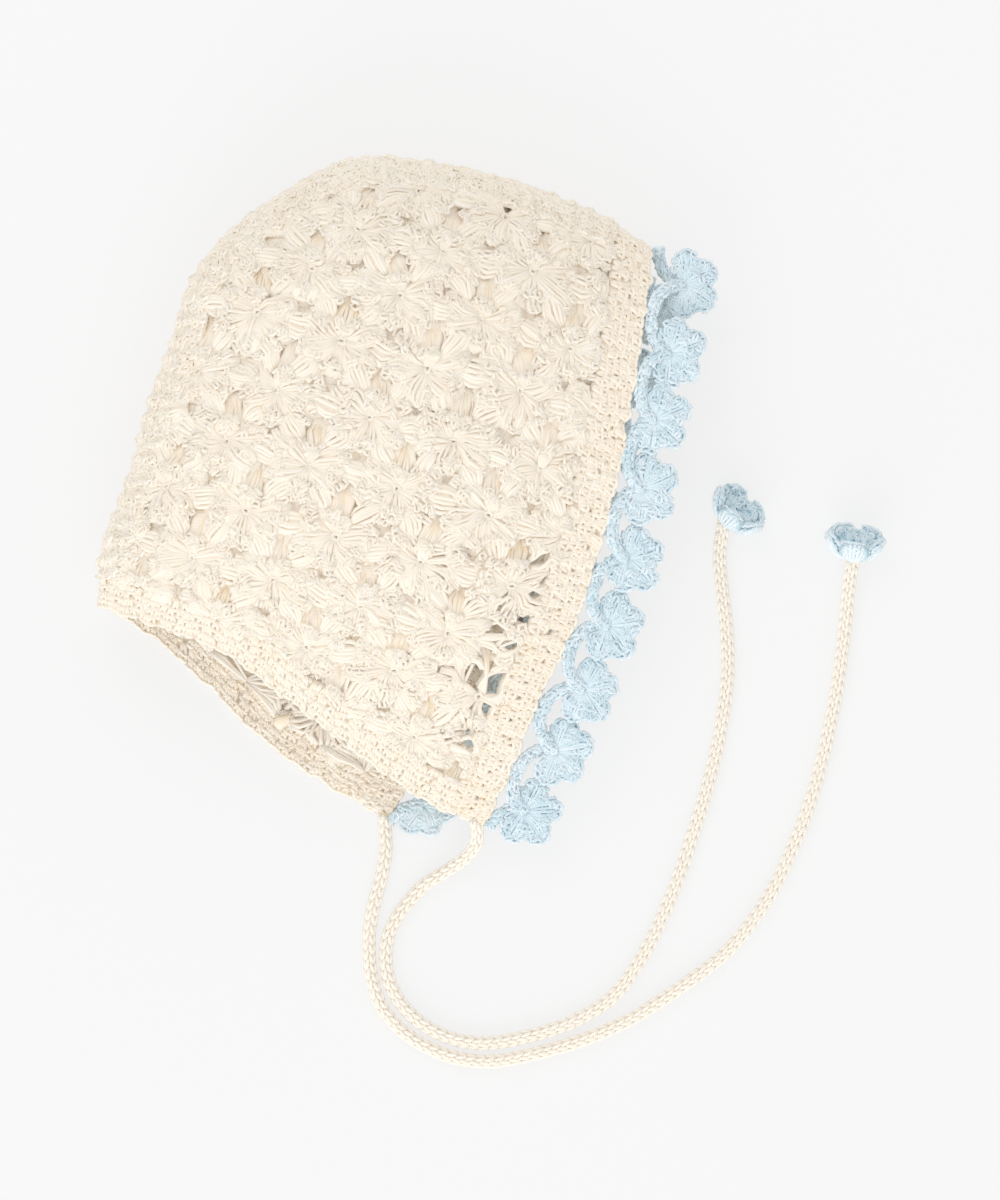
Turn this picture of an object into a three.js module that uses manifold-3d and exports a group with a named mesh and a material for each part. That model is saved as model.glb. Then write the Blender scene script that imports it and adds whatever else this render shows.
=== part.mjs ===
// A crocheted cotton bonnet lying on its side, with a flower trim round the face opening and two ties.
// Lengths are in millimetres. X points to the face opening, Y to the crown and Z up from the floor.
import * as THREE from "three";
import { mergeVertices } from "three/addons/utils/BufferGeometryUtils.js";
import Module from "manifold-3d";

const wasm = await Module();
wasm.setup();

// Fabric
const puffWall = 4.0;
const bandWall = 3.2;
const frontBandWidth = 17;
const neckBandWidth = 12.5;
const pieceGap = 0.35;

// How the bonnet lies: the crown and back form one fold between the upper and the lower side
const foldHeight = 28;
const upperRounding = 50;
const lowerRounding = 34;
const onFold = 0.05;

// Gaps between the puff flowers
const flowerPitch = 39.4;
const flowerRowPitch = 28.2;
const firstRowY = 103;
const firstRowX = 14;
const gapLength = 7.2;
const gapWidth = 5.4;

// Trim along the face opening
const trimRadius = 14.6;
const trimHalfThickness = 2.4;
const trimDroop = THREE.MathUtils.degToRad(9);
const lowerTrimReach = 15;
const lowerTrimStart = 13;
const trimCount = 9;
const chainRadius = 2.4;
const edgeRoom = 0.8;
const footGap = 0.65;

// Ties
const tieDiameter = 6;
const tieSides = 8;
const tieStep = 11.5;

// The fold seen from above, from the nape round the back and the crown to the front
const foldLine = [
  // x, y
  [-97, -92],
  [-101, -70],
  [-99, -31],
  [-99.5, 0],
  [-97.5, 37],
  [-97, 59],
  [-86, 85],
  [-67, 109],
  [-44, 130],
  [-14, 138],
  [23, 141],
  [58, 139],
  [79, 135.5],
  [96, 131],
];
const foldCorner = 0.4;

// Upper side, seen from above
const upperNeckLine = [
  // x, y, from the nape to the front corner
  [-97, -92],
  [-67, -93.5],
  [-37, -96],
  [-10, -106],
  [20, -117.5],
  [47, -128],
  [75, -136.5],
  [96, -138],
];
const upperFrontLine = [
  // x, y, from the front corner to the crown
  [96, -138],
  [100, -120],
  [104, -82],
  [110, -39],
  [110.5, 17],
  [107, 56],
  [101, 104],
  [96, 131],
];

// Lower side, seen from above
const lowerNeckLine = [
  // x, y, from the nape to the front corner
  [-97, -92],
  [-84, -94.5],
  [-64, -101],
  [-38, -113.5],
  [-9, -129],
  [18, -138.5],
  [53, -148],
];
const lowerFrontLine = [
  // x, y, from the front corner to the crown
  [53, -148],
  [63, -122],
  [75, -86],
  [86, -40],
  [92, 10],
  [94, 50],
  [96, 95],
  [96, 131],
];

// Height of the upper side away from the fold
const heightX = [-98, -29, 40, 109];
const heightY = [-138, -46, 46, 138];
const upperHeights = [
  // at the neck, low, high, at the crown
  [44, 60, 64, 58],
  [45, 70, 74, 64],
  [28, 58, 68, 58],
  [19, 37, 46, 43],
];

// Middles of the upper trim flowers, from the crown down
const upperTrim = [
  // x, y
  [113.9, 118.4],
  [116.5, 87.6],
  [118.2, 57.2],
  [122, 26.1],
  [124.2, -5.7],
  [124.2, -36.9],
  [122, -67.4],
  [117.9, -96.9],
  [111.9, -126.8],
];

// The ties, from the bonnet to the flower at the end
const nearTieRoute = [
  // x, y, z
  [94.6, -142.2, 16.5],
  [95.2, -147.8, 13],
  [92.2, -155, 8.5],
  [86, -162.8, 5],
  [78.4, -171.5, 3.4],
  [72.5, -183.5, 3],
  [69.4, -196.5, 3],
  [71.6, -209.5, 3],
  [78, -220.3, 3],
  [88, -228.2, 3],
  [104, -233.4, 3],
  [121.5, -232.6, 3],
  [141.2, -223.8, 3],
  [159.8, -211, 3],
  [173.5, -195.5, 3],
  [181.4, -173, 3],
  [185.8, -145, 3],
  [187.4, -115, 3],
  [187.2, -81, 3],
  [182.7, -45, 3],
  [175.5, -22, 3],
  [168.3, -5, 3.4],
  [163.5, 8, 4.6],
  [161.6, 20.5, 6.8],
];
const farTieRoute = [
  // x, y, z
  [54.2, -151.9, 3],
  [57.2, -160, 3],
  [58.8, -172, 3],
  [59.3, -188, 3],
  [61.4, -201.6, 3],
  [67, -217, 3],
  [76.4, -230, 3],
  [91.5, -238.6, 3],
  [111, -241.9, 3],
  [129, -239, 3],
  [148.2, -229.4, 3],
  [167, -217.3, 3],
  [184, -203, 3],
  [199, -186, 3],
  [217.5, -160.5, 3],
  [227.5, -134, 3],
  [232, -108, 3],
  [233.8, -81.3, 3],
  [231.5, -40.3, 3],
  [227, -10, 3.6],
  [223.6, 8, 5.2],
  [221.6, 20.5, 7.2],
];

// Outlines of the flowers as half sections
const trimProfile = [
  // radius, height, how deep the notches between the petals are
  [0, -2.4, 0],
  [14.2, -1.3, 0.2],
  [14.6, 1.2, 0.24],
  [9, 2.4, 0.1],
  [0, 0.4, 0],
];
const cupProfile = [
  // radius, height, how deep the notches between the petals are
  [0, 0, 0],
  [3.6, 0.2, 0],
  [8.6, 3.2, 0.06],
  [12.8, 8.6, 0.24],
  [11.2, 10.4, 0.24],
  [6.4, 5.6, 0.06],
  [0, 3.2, 0],
];
const cupFlattening = 0.74;
const nearCupAim = [0.55, 0.7, 0.45];
const farCupAim = [-0.19, 0.95, 0.25];

// Lines in plan
const through = (rows) =>
  new THREE.CatmullRomCurve3(
    rows.map(([x, y, z = 0]) => new THREE.Vector3(x, y, z)),
    false,
    "centripetal",
  );

const fold = through(foldLine);
const foldLength = fold.getLength();
const foldSamples = fold.getSpacedPoints(300);

// The distance from a point to the fold, and the unit vector that leads away from the fold there
function awayFromFold(x, y) {
  let best = { distance: Infinity };
  for (let i = 1; i < foldSamples.length; i += 1) {
    const a = foldSamples[i - 1];
    const b = foldSamples[i];
    const length = Math.hypot(b.x - a.x, b.y - a.y);
    const way = [(b.x - a.x) / length, (b.y - a.y) / length];
    const along = THREE.MathUtils.clamp((x - a.x) * way[0] + (y - a.y) * way[1], 0, length);
    const distance = Math.hypot(x - a.x - along * way[0], y - a.y - along * way[1]);
    if (distance < best.distance) {
      best = { distance, inward: [way[1], -way[0]] };
    }
  }
  return best.distance < onFold ? { ...best, distance: 0 } : best;
}

// A smooth curve through four values that are evenly spaced from 0 to 1
function smooth(values, u) {
  const place = THREE.MathUtils.clamp(u, 0, 1) * 3;
  const i = Math.min(Math.floor(place), 2);
  const f = place - i;
  const before = i > 0 ? values[i - 1] : 2 * values[0] - values[1];
  const after = i < 2 ? values[i + 2] : 2 * values[3] - values[2];
  const slopeIn = (values[i + 1] - before) / 2;
  const slopeOut = (after - values[i]) / 2;
  return (
    values[i] * (2 * f ** 3 - 3 * f ** 2 + 1) +
    slopeIn * (f ** 3 - 2 * f ** 2 + f) +
    values[i + 1] * (3 * f ** 2 - 2 * f ** 3) +
    slopeOut * (f ** 3 - f ** 2)
  );
}

function upperHeight(x, y) {
  const u = (x - heightX[0]) / (heightX[3] - heightX[0]);
  const v = (y - heightY[0]) / (heightY[3] - heightY[0]);
  return smooth(
    upperHeights.map((row) => smooth(row, v)),
    u,
  );
}

// The outer surface of either side over a point of the plan, with its outward direction
function surface(side, x, y) {
  const { distance, inward } = awayFromFold(x, y);
  const upper = side === "upper";
  const rise = upper ? upperHeight(x, y) - foldHeight : -foldHeight;
  const reach = upper ? upperRounding : lowerRounding;
  const left = 1 - Math.min(distance / reach, 1);
  const round = Math.sqrt(1 - left * left);
  const slopeX = upper ? (upperHeight(x + 1, y) - upperHeight(x - 1, y)) / 2 : 0;
  const slopeY = upper ? (upperHeight(x, y + 1) - upperHeight(x, y - 1)) / 2 : 0;
  const turn = upper ? 1 : -1;
  const normal = new THREE.Vector3(
    -turn * ((left * rise * inward[0]) / reach + round * round * slopeX),
    -turn * ((left * rise * inward[1]) / reach + round * round * slopeY),
    turn * round,
  );
  return {
    position: new THREE.Vector3(x, y, foldHeight + rise * round),
    normal: normal.normalize(),
  };
}

// A line beside an edge, a given way to its left, with both ends led to given points
function inset(edge, width, start, end) {
  const offset = (u) => {
    const p = edge.getPointAt(u);
    const t = edge.getTangentAt(u);
    return [p.x - t.y * width, p.y + t.x * width];
  };
  const first = offset(0);
  const last = offset(1);
  const samples = [];
  for (let i = 0; i <= 24; i += 1) {
    const u = i / 24;
    const [x, y] = offset(u);
    const a = (1 - u) ** 10;
    const b = u ** 10;
    samples.push([
      x + a * (start.x - first[0]) + b * (end.x - last[0]),
      y + a * (start.y - first[1]) + b * (end.y - last[1]),
    ]);
  }
  return through(samples);
}

const cut = (curve, from, to) => (u) => curve.getPointAt(from + (to - from) * u);

function seams(neck, front) {
  const neckLength = neck.getLength();
  const lines = {};
  for (const [name, extra] of [
    ["band", 0],
    ["body", pieceGap],
  ]) {
    const frontWidth = frontBandWidth + extra;
    const frontSeam = inset(
      front,
      frontWidth,
      neck.getPointAt(1 - frontWidth / neckLength),
      fold.getPointAt(1 - frontWidth / foldLength),
    );
    lines[name] = { frontSeam };
  }
  const neckEnd = 1 - (frontBandWidth + pieceGap) / neckLength;
  const neckTrimmed = through(
    Array.from({ length: 17 }, (_, i) => {
      const p = neck.getPointAt((i / 16) * neckEnd);
      return [p.x, p.y];
    }),
  );
  for (const [name, extra] of [
    ["band", 0],
    ["body", pieceGap],
  ]) {
    const width = neckBandWidth + extra;
    const { frontSeam } = lines.body;
    lines[name].neckSeam = inset(
      neckTrimmed,
      width,
      fold.getPointAt(width / foldLength),
      frontSeam.getPointAt(width / frontSeam.getLength()),
    );
  }
  return { ...lines, neckTrimmed };
}

const upperNeck = through(upperNeckLine);
const upperFront = through(upperFrontLine);
const lowerNeck = through(lowerNeckLine);
const lowerFront = through(lowerFrontLine);
const sides = {
  upper: { neck: upperNeck, front: upperFront, ...seams(upperNeck, upperFront) },
  lower: { neck: lowerNeck, front: lowerFront, ...seams(lowerNeck, lowerFront) },
};

// A patch of plan between four lines: bottom and top run forwards, left and right run upwards
function patch(bottom, top, left, right) {
  const corners = [bottom(0), bottom(1), top(0), top(1)];
  return (s, t) => {
    const [b, p, l, r] = [bottom(s), top(s), left(t), right(t)];
    const blend = (k) =>
      (1 - t) * b[k] +
      t * p[k] +
      (1 - s) * l[k] +
      s * r[k] -
      (1 - s) * (1 - t) * corners[0][k] -
      s * (1 - t) * corners[1][k] -
      (1 - s) * t * corners[2][k] -
      s * t * corners[3][k];
    return [blend("x"), blend("y")];
  };
}

// Steps from 0 to 1 over a length, close together at the fold and even after it
function stepsFromFold(length, step) {
  const close = [0, 1.6, 6.5, 14.5, 25.5, 38];
  const rest = Math.max(Math.round((length - 38) / step), 1);
  const steps = close.map((distance) => distance / length);
  for (let i = 1; i <= rest; i += 1) {
    steps.push((38 + ((length - 38) * i) / rest) / length);
  }
  return steps;
}

function evenSteps(count) {
  return Array.from({ length: count + 1 }, (_, i) => i / count);
}

// A grid of points on one side of the bonnet, as triangles that face outwards
function skin(side, plan, columns, rows) {
  const points = columns.map((s) => rows.map((t) => surface(side, ...plan(s, t))));
  const triangles = [];
  for (let i = 1; i < columns.length; i += 1) {
    for (let j = 1; j < rows.length; j += 1) {
      const [a, b, c, d] = [
        points[i - 1][j - 1],
        points[i][j - 1],
        points[i][j],
        points[i - 1][j],
      ];
      triangles.push([a, b, c], [a, c, d]);
    }
  }
  const flat = ([a, b, c]) =>
    (b.position.x - a.position.x) * (c.position.y - a.position.y) -
    (b.position.y - a.position.y) * (c.position.x - a.position.x);
  const total = triangles.reduce((sum, triangle) => sum + flat(triangle), 0);
  const facesUp = total > 0;
  return facesUp === (side === "upper") ? triangles : triangles.map(([a, b, c]) => [a, c, b]);
}

// A closed solid from outer triangles and a wall inside them
function thicken(triangles, wall) {
  const index = new Map();
  const points = [];
  const number = (point) => {
    const key = point.position.toArray().map((v) => Math.round(v * 100)).join(" ");
    if (!index.has(key)) {
      index.set(key, points.length);
      points.push({ position: point.position, normal: point.normal.clone() });
    } else {
      points[index.get(key)].normal.add(point.normal);
    }
    return index.get(key);
  };
  const faces = triangles
    .map((triangle) => triangle.map(number))
    .filter(([a, b, c]) => a !== b && b !== c && c !== a);
  const count = points.length;
  const positions = points.map(({ position }) => position);
  const inner = points.map(({ position, normal }) =>
    position.clone().addScaledVector(normal.normalize(), -wall),
  );
  const edges = new Set(faces.flatMap(([a, b, c]) => [`${a} ${b}`, `${b} ${c}`, `${c} ${a}`]));
  const solid = [];
  for (const [a, b, c] of faces) {
    solid.push([a, b, c], [a + count, c + count, b + count]);
    for (const [p, q] of [
      [a, b],
      [b, c],
      [c, a],
    ]) {
      if (!edges.has(`${q} ${p}`)) {
        solid.push([q, p, p + count], [q, p + count, q + count]);
      }
    }
  }
  const geometry = new THREE.BufferGeometry();
  geometry.setAttribute(
    "position",
    new THREE.Float32BufferAttribute(
      [...positions, ...inner].flatMap((p) => p.toArray()),
      3,
    ),
  );
  geometry.setIndex(solid.flat());
  return geometry;
}

// Solids for joining and cutting
function toSolid(geometry) {
  const bare = geometry.clone();
  bare.deleteAttribute("normal");
  bare.deleteAttribute("uv");
  const merged = mergeVertices(bare, 1e-4);
  return new wasm.Manifold(
    new wasm.Mesh({
      numProp: 3,
      vertProperties: new Float32Array(merged.attributes.position.array),
      triVerts: new Uint32Array(merged.index.array),
    }),
  );
}

function toGeometry(solid) {
  const mesh = solid.getMesh();
  const geometry = new THREE.BufferGeometry();
  geometry.setAttribute("position", new THREE.Float32BufferAttribute(mesh.vertProperties, 3));
  geometry.setIndex([...mesh.triVerts]);
  return geometry;
}

// Crown body: the puff fabric of both sides, in one piece round the fold
function bodySkin(side) {
  const { neckSeam, frontSeam } = sides[side].body;
  const neckWidth = neckBandWidth + pieceGap;
  const start = neckWidth / foldLength;
  const end = 1 - (frontBandWidth + pieceGap) / foldLength;
  const plan = patch(
    cut(neckSeam, 0, 1),
    cut(fold, foldCorner, end),
    cut(fold, start, foldCorner),
    cut(frontSeam, neckWidth / frontSeam.getLength(), 1),
  );
  const columns = stepsFromFold(190, 15.5);
  const rows = stepsFromFold(230, 15.5)
    .map((u) => 1 - u)
    .reverse();
  return skin(side, plan, columns, rows);
}

// A gap between puff flowers, as a bar with four sides that stands through one side of the bonnet
function gapBar(x, y, low, high) {
  const outline = new THREE.Shape([
    new THREE.Vector2(x - gapWidth / 2, y),
    new THREE.Vector2(x, y - gapLength / 2),
    new THREE.Vector2(x + gapWidth / 2, y),
    new THREE.Vector2(x, y + gapLength / 2),
  ]);
  const bar = new THREE.ExtrudeGeometry(outline, { depth: high - low, bevelEnabled: false });
  return toSolid(bar.translate(0, 0, low));
}

// Whether a point of the plan lies within the puff fabric, a given way from its borders
function inFabric(side, x, y, margin) {
  const { neckSeam, frontSeam } = sides[side].body;
  const border = [
    ...neckSeam.getSpacedPoints(40),
    ...frontSeam.getSpacedPoints(40),
    ...fold.getSpacedPoints(80).reverse(),
  ];
  let inside = false;
  let nearest = Infinity;
  for (let i = 0; i < border.length; i += 1) {
    const a = border[i];
    const b = border[(i + 1) % border.length];
    if (a.y > y !== b.y > y && x < a.x + ((b.x - a.x) * (y - a.y)) / (b.y - a.y)) {
      inside = !inside;
    }
    nearest = Math.min(nearest, Math.hypot(x - a.x, y - a.y));
  }
  return inside && nearest > margin;
}

function gapPlaces(side) {
  const places = [];
  for (let row = 0; row < 9; row += 1) {
    const shift = row % 2 === 0 ? flowerPitch / 2 : 0;
    for (let column = -4; column < 4; column += 1) {
      const x = firstRowX + shift + column * flowerPitch;
      const y = firstRowY - row * flowerRowPitch;
      if (inFabric(side, x, y, 9) && awayFromFold(x, y).distance > 16) {
        places.push([x, y]);
      }
    }
  }
  return places;
}

function crownBody() {
  const shell = toSolid(thicken([...bodySkin("upper"), ...bodySkin("lower")], puffWall));
  const gaps = [
    ...gapPlaces("upper").map(([x, y]) => gapBar(x, y, 14, 90)),
    ...gapPlaces("lower").map(([x, y]) => gapBar(x, y, -5, 13)),
  ];
  return toGeometry(shell.subtract(wasm.Manifold.union(gaps)));
}

// Bands: strips between an edge and its seam, in one piece round the fold
function frontBand() {
  const triangles = ["upper", "lower"].flatMap((side) => {
    const { front, band } = sides[side];
    const plan = (s, t) => {
      if (t === 1) {
        const { x, y } = fold.getPointAt(1 - ((1 - s) * frontBandWidth) / foldLength);
        return [x, y];
      }
      const a = band.frontSeam.getPointAt(t);
      const b = front.getPointAt(t);
      return [a.x + (b.x - a.x) * s, a.y + (b.y - a.y) * s];
    };
    const rows = stepsFromFold(front.getLength(), 15)
      .map((u) => 1 - u)
      .reverse();
    return skin(side, plan, evenSteps(2), rows);
  });
  return thicken(triangles, bandWall);
}

function neckBand() {
  const triangles = ["upper", "lower"].flatMap((side) => {
    const { neckTrimmed, band } = sides[side];
    const plan = (s, t) => {
      if (s === 0) {
        const { x, y } = fold.getPointAt((t * neckBandWidth) / foldLength);
        return [x, y];
      }
      const a = neckTrimmed.getPointAt(s);
      const b = band.neckSeam.getPointAt(s);
      return [a.x + (b.x - a.x) * t, a.y + (b.y - a.y) * t];
    };
    return skin(side, plan, stepsFromFold(neckTrimmed.getLength(), 15), evenSteps(2));
  });
  return thicken(triangles, bandWall);
}

// A flower turned from a half section, with notches between its petals
function blossom(profile, petals, samples) {
  const positions = [];
  const faces = [];
  const last = profile.length - 1;
  positions.push(0, 0, profile[0][1]);
  for (let ring = 1; ring < last; ring += 1) {
    const [radius, height, notch] = profile[ring];
    for (let i = 0; i < samples; i += 1) {
      const angle = (i / samples) * Math.PI * 2;
      const r = radius * (1 - notch * (1 - Math.abs(Math.cos((petals * angle) / 2)) ** 0.7));
      positions.push(r * Math.cos(angle), r * Math.sin(angle), height);
    }
  }
  positions.push(0, 0, profile[last][1]);
  const top = positions.length / 3 - 1;
  for (let i = 0; i < samples; i += 1) {
    const next = (i + 1) % samples;
    faces.push([0, 1 + next, 1 + i]);
    for (let ring = 1; ring < last - 1; ring += 1) {
      const a = 1 + (ring - 1) * samples;
      const b = a + samples;
      faces.push([a + i, a + next, b + next], [a + i, b + next, b + i]);
    }
    const rim = 1 + (last - 2) * samples;
    faces.push([rim + i, rim + next, top]);
  }
  const geometry = new THREE.BufferGeometry();
  geometry.setAttribute("position", new THREE.Float32BufferAttribute(positions, 3));
  geometry.setIndex(faces.flat());
  return geometry;
}

function rod(points, radius, sides_, steps) {
  const outline = new THREE.Shape(
    Array.from({ length: sides_ }, (_, i) => {
      const angle = ((i + 0.5) / sides_) * Math.PI * 2;
      return new THREE.Vector2(radius * Math.cos(angle), radius * Math.sin(angle));
    }),
  );
  return new THREE.ExtrudeGeometry(outline, {
    steps,
    extrudePath: new THREE.CatmullRomCurve3(points, false, "centripetal"),
  });
}

// Shortens the half of a flower that faces the bonnet
function squeeze(flower, share) {
  const positions = flower.attributes.position;
  for (let i = 0; i < positions.count; i += 1) {
    if (positions.getX(i) < 0) {
      positions.setX(i, positions.getX(i) * share);
    }
  }
  return flower;
}

// One flower of the trim with the two halves of chain arch that hold it to the face edge
function trimFlower(middle, height, droop, before, after) {
  const along = new THREE.Vector3().subVectors(before, after).setZ(0).normalize();
  const out = new THREE.Vector3(along.y, -along.x, 0);
  const centre = new THREE.Vector3(middle[0], middle[1], height);
  const room = -Math.max(...[before, after].map((foot) => foot.clone().sub(centre).dot(out)));
  const flower = squeeze(blossom(trimProfile, 5, 20), Math.min((room + edgeRoom) / trimRadius, 1));
  flower.rotateY(droop);
  flower.applyMatrix4(
    new THREE.Matrix4().makeBasis(out, along, new THREE.Vector3(0, 0, 1)).setPosition(centre),
  );
  const parts = [toSolid(flower)];
  for (const foot of [before, after]) {
    const reach = new THREE.Vector3().subVectors(foot, centre);
    const back = out.clone().multiplyScalar(reach.dot(out));
    const aside = along.clone().multiplyScalar(reach.dot(along));
    const points = [0, 22, 45, 67, 90].map((degrees) => {
      const angle = THREE.MathUtils.degToRad(degrees);
      return centre
        .clone()
        .addScaledVector(back, Math.sin(angle))
        .addScaledVector(aside, 1 - Math.cos(angle))
        .setZ(centre.z + reach.z * Math.sin(angle));
    });
    parts.push(toSolid(rod(points, chainRadius, 4, 5)));
  }
  return toGeometry(wasm.Manifold.union(parts));
}

function lowerTrim() {
  return Array.from({ length: trimCount }, (_, i) => {
    const u = (1 - lowerTrimStart / lowerFront.getLength()) * (1 - (i + 0.5) / trimCount);
    const p = lowerFront.getPointAt(u);
    const t = lowerFront.getTangentAt(u);
    return [p.x + t.y * lowerTrimReach, p.y - t.x * lowerTrimReach];
  });
}

// The points where the chain arches meet the face edge, one between each two flowers and one at each end
function trimFeet(side, middles) {
  const edge = sides[side].front;
  const samples = edge.getSpacedPoints(400);
  const ends = [
    middles[0].map((v, k) => 1.5 * v - 0.5 * middles[1][k]),
    middles[trimCount - 1].map((v, k) => 1.5 * v - 0.5 * middles[trimCount - 2][k]),
  ];
  const between = middles.slice(1).map((m, i) => m.map((v, k) => (v + middles[i][k]) / 2));
  return [ends[0], ...between, ends[1]].map(([x, y]) => {
    let nearest = 0;
    samples.forEach((p, i) => {
      const best = samples[nearest];
      if (Math.hypot(p.x - x, p.y - y) < Math.hypot(best.x - x, best.y - y)) {
        nearest = i;
      }
    });
    const u = nearest / 400;
    const p = edge.getPointAt(u);
    const t = edge.getTangentAt(u);
    const reach = chainRadius + pieceGap;
    const height = surface(side, p.x, p.y).position.z;
    const mid = side === "upper" ? height - bandWall / 2 : Math.max(height, 0) + chainRadius;
    return new THREE.Vector3(p.x + t.y * reach, p.y - t.x * reach, mid);
  });
}

function trim(side, middles) {
  const feet = trimFeet(side, middles);
  const droop = side === "upper" ? trimDroop : 0;
  return middles.map((middle, i) => {
    const drop = side === "upper" ? trimRadius * Math.sin(trimDroop) : 0;
    const height = (feet[i].z + feet[i + 1].z) / 2 - drop;
    const shrink = new THREE.Vector3().subVectors(feet[i + 1], feet[i]).setLength(footGap);
    return trimFlower(
      middle,
      Math.max(height, trimHalfThickness),
      droop,
      feet[i].clone().add(shrink),
      feet[i + 1].clone().sub(shrink),
    );
  });
}

// Ties and the cupped flowers at their ends
function tie(route) {
  const points = route.map((p) => new THREE.Vector3(...p));
  const length = new THREE.CatmullRomCurve3(points, false, "centripetal").getLength();
  return rod(points, tieDiameter / 2, tieSides, Math.round(length / tieStep));
}

function tieFlower(route, aim) {
  const end = new THREE.Vector3(...route[route.length - 1]);
  const axis = new THREE.Vector3(...aim).normalize();
  const flower = blossom(cupProfile, 5, 15);
  flower.applyQuaternion(
    new THREE.Quaternion().setFromUnitVectors(new THREE.Vector3(0, 0, 1), axis),
  );
  flower.scale(1, 1, cupFlattening);
  flower.translate(end.x, end.y, end.z);
  flower.translate(axis.x * (tieDiameter / 2), axis.y * (tieDiameter / 2), 0);
  flower.computeBoundingBox();
  flower.translate(0, 0, Math.max(0, -flower.boundingBox.min.z));
  return flower;
}

const bonnet = new THREE.Group();
const cream = { color: 0xf8edd6, roughness: 0.95 };
const blue = { color: 0xbfe0ec, roughness: 0.95 };

function add(name, geometry, look) {
  const mesh = new THREE.Mesh(geometry, new THREE.MeshStandardMaterial(look));
  mesh.name = name;
  bonnet.add(mesh);
}

add("crown_body", crownBody(), cream);
add("front_band", frontBand(), cream);
add("neck_band", neckBand(), cream);
trim("upper", upperTrim).forEach((geometry, i) => add(`near_trim_flower_${i + 1}`, geometry, blue));
trim("lower", lowerTrim()).forEach((geometry, i) => add(`far_trim_flower_${i + 1}`, geometry, blue));
add("near_tie", tie(nearTieRoute), cream);
add("far_tie", tie(farTieRoute), cream);
add("near_tie_flower", tieFlower(nearTieRoute, nearCupAim), blue);
add("far_tie_flower", tieFlower(farTieRoute, farCupAim), blue);

export default bonnet;
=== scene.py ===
"""A crocheted cotton bonnet lying on its side on a pale floor. Every length is in metres."""
import math

import bpy
import numpy as np
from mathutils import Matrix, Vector


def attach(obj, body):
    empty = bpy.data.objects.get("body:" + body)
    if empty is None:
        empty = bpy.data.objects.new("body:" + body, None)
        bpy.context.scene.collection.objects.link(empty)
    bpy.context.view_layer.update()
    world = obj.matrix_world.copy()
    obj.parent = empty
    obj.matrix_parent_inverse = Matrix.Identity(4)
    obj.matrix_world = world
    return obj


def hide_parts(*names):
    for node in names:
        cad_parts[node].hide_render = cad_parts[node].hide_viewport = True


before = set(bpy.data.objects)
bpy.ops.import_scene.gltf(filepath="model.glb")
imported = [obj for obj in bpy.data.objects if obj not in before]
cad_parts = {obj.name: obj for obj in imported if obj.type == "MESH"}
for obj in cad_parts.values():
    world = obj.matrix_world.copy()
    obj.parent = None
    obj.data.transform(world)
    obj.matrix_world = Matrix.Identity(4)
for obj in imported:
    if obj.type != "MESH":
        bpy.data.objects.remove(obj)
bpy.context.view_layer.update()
random = np.random.default_rng(11)

# Camera and view
VIEW_CENTRE = (0.075, -0.0395)
VIEW_HEIGHT = 0.5356
VIEW_TURN = math.radians(16.34)
CAMERA_HEIGHT = 9.0

TURN = 2 * math.pi

# Yarn, and the thickness of a band
YARN_RADIUS = 0.00078
LOOP_LENGTH = 0.0022
LOOP_HALF_WIDTH = 0.0012
BAND_WALL = 0.0032
INNER_FACE = 0.0034
STITCH_PITCH = 0.0036

# How the bonnet lies: the crown and back form one fold between the upper and the lower side
FOLD_HEIGHT = 0.028
ROUNDING = {"upper": 0.05, "lower": 0.034}
USUAL_RISE = {"upper": 0.038, "lower": 0.028}
FRONT_BAND = 0.017
NECK_BAND = 0.0125
PIECE_GAP = 0.0004
# Yarn that meets the floor is pressed flat over about this height
PRESSED = 0.0003

# The layers of the puff fabric, by their depth under its outer surface
LOOPS_DEPTH = 0.0022
CORE_DEPTH = 0.0027
APART_DEPTH = 0.0031
LINING_DEPTH = 0.0036
INSIDE_DEPTH = 0.0042
# Fabric is gathered over about this length before a seam
SEAM_SOFTNESS = 0.0022
# Flowers higher up than this are in the crown's pieces, the others in the nape's
CROWN_FROM = 0.015

FOLD_LINE = [
    (-0.097, -0.092), (-0.101, -0.07), (-0.099, -0.031), (-0.0995, 0.0),
    (-0.0975, 0.037), (-0.097, 0.059), (-0.086, 0.085), (-0.067, 0.109),
    (-0.044, 0.13), (-0.014, 0.138), (0.023, 0.141), (0.058, 0.139),
    (0.079, 0.1355), (0.096, 0.131),
]
NECK_LINE = {
    "upper": [
        (-0.097, -0.092), (-0.067, -0.0935), (-0.037, -0.096), (-0.01, -0.106),
        (0.02, -0.1175), (0.047, -0.128), (0.075, -0.1365), (0.096, -0.138),
    ],
    "lower": [
        (-0.097, -0.092), (-0.084, -0.0945), (-0.064, -0.101), (-0.038, -0.1135),
        (-0.009, -0.129), (0.018, -0.1385), (0.053, -0.148),
    ],
}
FRONT_LINE = {
    "upper": [
        (0.096, -0.138), (0.1, -0.12), (0.104, -0.082), (0.11, -0.039),
        (0.1105, 0.017), (0.107, 0.056), (0.101, 0.104), (0.096, 0.131),
    ],
    "lower": [
        (0.053, -0.148), (0.063, -0.122), (0.075, -0.086), (0.086, -0.04),
        (0.092, 0.01), (0.094, 0.05), (0.096, 0.095), (0.096, 0.131),
    ],
}
HEIGHT_X = (-0.098, 0.109)
HEIGHT_Y = (-0.138, 0.138)
UPPER_HEIGHTS = np.array(
    [
        (0.044, 0.06, 0.064, 0.058),
        (0.045, 0.07, 0.074, 0.064),
        (0.028, 0.058, 0.068, 0.058),
        (0.019, 0.037, 0.046, 0.043),
    ]
)

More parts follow.
